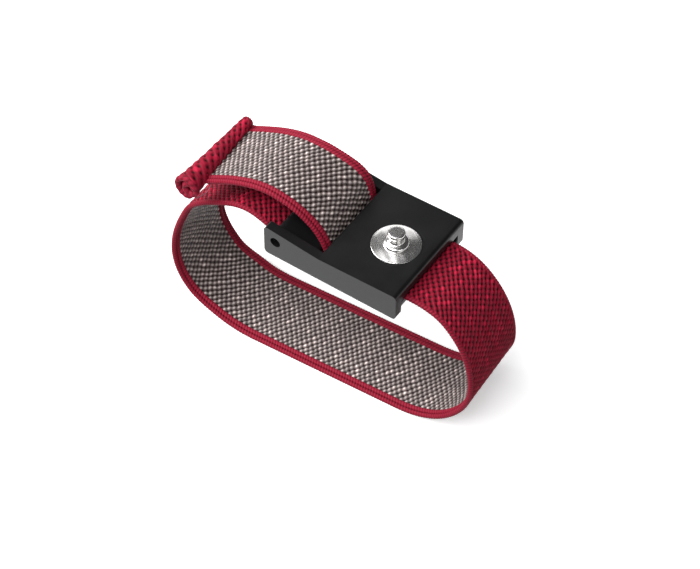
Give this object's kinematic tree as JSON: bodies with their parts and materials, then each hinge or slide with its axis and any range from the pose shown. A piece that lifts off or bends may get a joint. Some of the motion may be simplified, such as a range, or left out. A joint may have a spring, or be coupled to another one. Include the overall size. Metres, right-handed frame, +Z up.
{
  "type": "anti-static wrist strap",
  "caption": "Adjustable knitted elastic wrist strap with a moulded clasp, a hinged clamp lever and a snap stud for a grounding lead.",
  "frame": {"origin": "middle of the bottom of the whole strap's box, on the surface it stands on", "axes": "+X along the loop's long side towards the clasp's fixed-band end, +Y across the band, +Z up. The clasp is tilted: its own axes lean 8.5 degrees back about X and dip 5.1 degrees about Y"},
  "size_m": [0.0848, 0.0302, 0.0556],
  "materials": {
    "black_moulding": "satin moulded",
    "bright_nickel": "polished nickel plate",
    "stainless_steel": "brushed",
    "burgundy_knit": "knitted elastic",
    "conductive_knit": "knit with conductive yarn",
    "burgundy_thread": "sewing thread"
  },
  "bodies": {
    "clasp": {"clasp_housing": "black_moulding", "hinge_pin": "stainless_steel", "base_insert": "black_moulding", "contact_plate": "stainless_steel", "snap_flange": "bright_nickel", "snap_stud": "bright_nickel", "snap_rivet": "bright_nickel", "band_loop": "burgundy_knit", "band_tail": "conductive_knit", "tail_end_roll": "burgundy_knit", "roll_stitching": "burgundy_thread"},
    "lever": {"clamp_lever": "black_moulding", "band_fold": "burgundy_knit"}
  },
  "joints": [
    {"name": "lever_hinge", "type": "hinge", "parent": "clasp", "child": "lever", "pos_m": [-0.0059, 0.00116, 0.04353], "axis": [0, -0.989, 0.1478], "range_deg": [0, 30], "deforming": ["band_tail"]}
  ]
}
